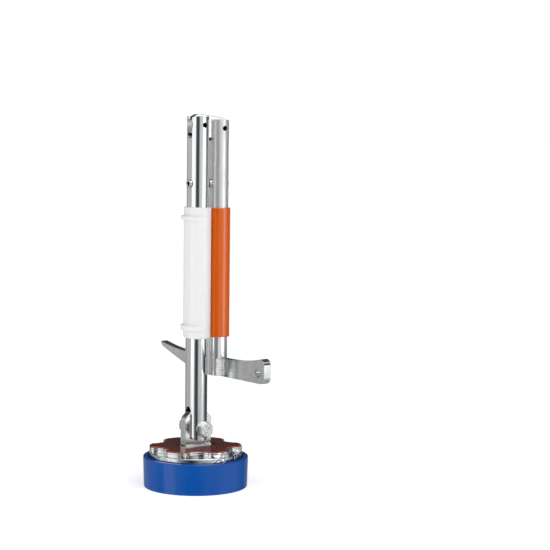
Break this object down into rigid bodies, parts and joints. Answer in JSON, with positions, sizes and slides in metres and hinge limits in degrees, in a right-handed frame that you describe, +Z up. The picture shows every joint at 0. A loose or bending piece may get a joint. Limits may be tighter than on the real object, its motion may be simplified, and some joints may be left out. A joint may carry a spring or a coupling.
{
  "type": "folding magnetic manhole cover lifter",
  "caption": "Magnet foot with a hinged flat-oval lever, a folding extension with grips and a cross bar with pick and hanging hole, standing on its transport cap.",
  "frame": {"origin": "middle of the underside of the transport cap, on the ground that the tool stands on", "axes": "+Z up the standing lever, +X from the lever tube to the folded extension tube, Y along all the hinge pins"},
  "size_m": [0.1, 0.1707, 0.3528],
  "materials": {
    "blue_plastic": "glossy",
    "plain_steel": "ground",
    "zinc_steel": "bright zinc",
    "magnet": "matt",
    "dark_steel": "black oxide",
    "resin": "matt",
    "label": "glossy",
    "zinc_plate": "satin zinc",
    "zinc_weld": "bright zinc, uneven",
    "bright_tube": "mirror-bright zinc",
    "white_plastic": "glossy",
    "zinc_fastener": "zinc plated",
    "spring_steel": "drawn",
    "plunger_plastic": "matt",
    "orange_plastic": "glossy"
  },
  "bodies": {
    "magnet_head": {"magnet_pot": "zinc_steel", "ring_magnet": "magnet", "pole_core": "plain_steel", "core_screw": "dark_steel", "magnet_potting": "resin", "lobed_plate": "zinc_steel", "plate_screws": "dark_steel", "top_label": "label", "lifting_ear": "zinc_plate", "ear_welds": "zinc_weld"},
    "cap": {"protective_cap": "blue_plastic", "keeper_plate": "plain_steel"},
    "lever": {"lever_tube": "bright_tube", "lever_grip": "white_plastic", "hinge_bolt": "zinc_fastener", "hinge_washers": "zinc_fastener", "lock_nut": "zinc_fastener", "lever_pivot_pin": "dark_steel", "lever_rivet": "bright_tube", "lever_spring": "spring_steel", "lever_spring_seat": "resin"},
    "lever_detent": {"lever_plunger": "plunger_plastic"},
    "link": {"link_plate": "zinc_plate"},
    "extension": {"extension_tube": "bright_tube", "extension_grip": "orange_plastic", "extension_pivot_pin": "dark_steel", "extension_rivet": "bright_tube", "extension_spring": "spring_steel", "extension_spring_seat": "resin", "cross_bar": "zinc_plate", "bar_welds": "zinc_weld"},
    "extension_detent": {"extension_plunger": "plunger_plastic"}
  },
  "joints": [
    {"name": "cap_pull", "type": "slide", "parent": "magnet_head", "child": "cap", "axis": [0, 0, -1], "range_m": [0, 0.045]},
    {"name": "head_tilt", "type": "hinge", "parent": "magnet_head", "child": "lever", "pos_m": [0, 0, 0.056], "axis": [0, 1, 0], "range_deg": [-85, 70]},
    {"name": "link_swing", "type": "hinge", "parent": "lever", "child": "link", "pos_m": [0, 0, 0.3425], "axis": [0, -1, 0], "range_deg": [0, 97]},
    {"name": "extension_fold", "type": "hinge", "parent": "link", "child": "extension", "pos_m": [0.02293, 0, 0.33969], "axis": [0, -1, 0], "range_deg": [0, 83]},
    {"name": "lever_plunger_travel", "type": "slide", "parent": "lever", "child": "lever_detent", "axis": [0, 0, -1], "range_m": [0, 0.003], "stiffness_N_per_m": 1500, "springref_m": -0.002, "deforming": ["lever_spring"]},
    {"name": "extension_plunger_travel", "type": "slide", "parent": "extension", "child": "extension_detent", "axis": [0, 0, -1], "range_m": [0, 0.003], "stiffness_N_per_m": 1500, "springref_m": -0.002, "deforming": ["extension_spring"]}
  ]
}
